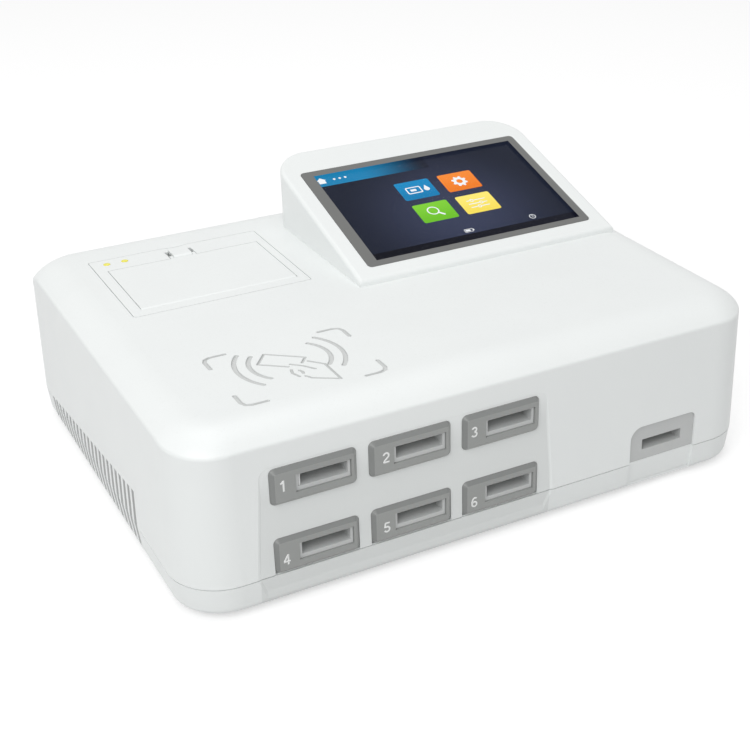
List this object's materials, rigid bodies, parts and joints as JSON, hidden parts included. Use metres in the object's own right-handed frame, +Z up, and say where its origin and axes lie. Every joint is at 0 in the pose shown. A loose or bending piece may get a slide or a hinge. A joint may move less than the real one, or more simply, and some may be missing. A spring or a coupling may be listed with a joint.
{
  "type": "rapid test reader",
  "caption": "Bench reader for rapid test cassettes: front insertion bays, tilted touch screen, flush lid printer, code chip port and side vents.",
  "frame": {"origin": "centre of the footprint, on the surface the feet stand on", "axes": "+X to the right seen from the front, +Y from the front face to the rear connectors, +Z up"},
  "size_m": [0.364, 0.2958, 0.1508],
  "materials": {
    "white_shell": "fine satin",
    "grey_bezel": "fine satin",
    "light_grey": "fine satin",
    "guide_plastic": "matt",
    "glass_front": "polished, grey printed border",
    "display": "dark lit display",
    "steel": "brushed",
    "aluminium": "satin",
    "spring_steel": "polished",
    "black_plastic": "matt",
    "board_green": "solder mask",
    "lens_glass": "coated",
    "brass": "machined",
    "belt_rubber": "matt",
    "rubber": "matt",
    "paper": "smooth paper",
    "lamp_green": "lit",
    "plated": "bright"
  },
  "bodies": {
    "case": {"lower_housing": "white_shell", "upper_housing": "white_shell", "screen_hood": "white_shell", "touch_glass": "glass_front", "lcd_module": "display", "lcd_bracket": "steel", "display_board": "board_green", "bay_bezel_1": "grey_bezel", "card_guide_1": "guide_plastic", "bay_bezel_2": "grey_bezel", "card_guide_2": "guide_plastic", "bay_bezel_3": "grey_bezel", "card_guide_3": "guide_plastic", "bay_bezel_4": "grey_bezel", "card_guide_4": "guide_plastic", "bay_bezel_5": "grey_bezel", "card_guide_5": "guide_plastic", "bay_bezel_6": "grey_bezel", "card_guide_6": "guide_plastic", "cassette_springs": "spring_steel", "frame_plates": "aluminium", "incubator_plates": "aluminium", "cross_rails": "steel", "drive_belt": "belt_rubber", "drive_motor": "black_plastic", "belt_mounts": "aluminium", "printer_flange": "white_shell", "door_hinge_pins": "steel", "print_head": "black_plastic", "paper_bucket": "black_plastic", "status_lights": "lamp_green", "light_board": "board_green", "card_reader_board": "board_green", "main_board": "board_green", "power_supply": "aluminium", "rear_panel": "steel", "power_inlet": "black_plastic", "switch_frame": "black_plastic", "data_sockets": "plated", "fan_frame": "black_plastic", "chip_port": "light_grey", "chip_socket": "black_plastic", "rubber_feet": "rubber", "case_screws": "plated"},
    "door": {"printer_door": "white_shell"},
    "latch": {"printer_latch": "white_shell"},
    "platen": {"platen_roller": "rubber"},
    "paper": {"paper_roll": "paper"},
    "fan": {"fan_rotor": "black_plastic"},
    "rocker": {"power_rocker": "black_plastic"},
    "scan_carriage": {"carriage": "aluminium", "belt_clamp": "black_plastic", "scan_rails": "steel", "scan_motor": "black_plastic"},
    "head_slide": {"scan_slide": "aluminium", "optical_heads": "black_plastic", "head_lenses": "lens_glass"},
    "screw": {"lead_screw": "brass"},
    "drive_wheel": {"drive_pulley": "plated"},
    "idler_wheel": {"idler_pulley": "plated"}
  },
  "joints": [
    {"name": "printer_door_hinge", "type": "hinge", "parent": "case", "child": "door", "pos_m": [-0.0924, 0.02123, 0.1057], "axis": [1, 0, 0], "range_deg": [0, 85]},
    {"name": "latch_pivot", "type": "hinge", "parent": "door", "child": "latch", "pos_m": [-0.0924, 0.08707, 0.1062], "axis": [1, 0, 0], "range_deg": [0, 18], "stiffness_Nm_per_rad": 0.02},
    {"name": "platen_spin", "type": "hinge", "parent": "door", "child": "platen", "pos_m": [-0.0924, 0.07508, 0.096], "axis": [1, 0, 0], "continuous": true},
    {"name": "paper_spin", "type": "hinge", "parent": "case", "child": "paper", "pos_m": [-0.0924, 0.04507, 0.081], "axis": [1, 0, 0], "continuous": true},
    {"name": "fan_spin", "type": "hinge", "parent": "case", "child": "fan", "pos_m": [-0.1, 0.13542, 0.055], "axis": [0, 1, 0], "continuous": true},
    {"name": "power_rocker_tilt", "type": "hinge", "parent": "case", "child": "rocker", "pos_m": [0.099, 0.13914, 0.051], "axis": [1, 0, 0], "range_deg": [0, 18]},
    {"name": "bay_traverse", "type": "slide", "parent": "case", "child": "scan_carriage", "axis": [1, 0, 0], "range_m": [-0.05575, 0.05575]},
    {"name": "head_scan", "type": "slide", "parent": "scan_carriage", "child": "head_slide", "axis": [0, -1, 0], "range_m": [0, 0.04]},
    {"name": "lead_screw_spin", "type": "hinge", "parent": "scan_carriage", "child": "screw", "pos_m": [-0.0485, 0.01507, 0.031], "axis": [0, 1, 0], "range_deg": [-5, 3610]},
    {"name": "drive_pulley_spin", "type": "hinge", "parent": "case", "child": "drive_wheel", "pos_m": [0.07725, 0.02608, 0.0122], "axis": [0, 0, 1], "range_deg": [-505, 505]},
    {"name": "idler_pulley_spin", "type": "hinge", "parent": "case", "child": "idler_wheel", "pos_m": [-0.15425, 0.02608, 0.0122], "axis": [0, 0, 1], "range_deg": [-505, 505]}
  ],
  "couplings": [
    {"joint": "lead_screw_spin", "follows": "head_scan", "rad_per_m": 1570.8},
    {"joint": "drive_pulley_spin", "follows": "bay_traverse", "rad_per_m": 157.08},
    {"joint": "idler_pulley_spin", "follows": "bay_traverse", "rad_per_m": 157.08}
  ]
}
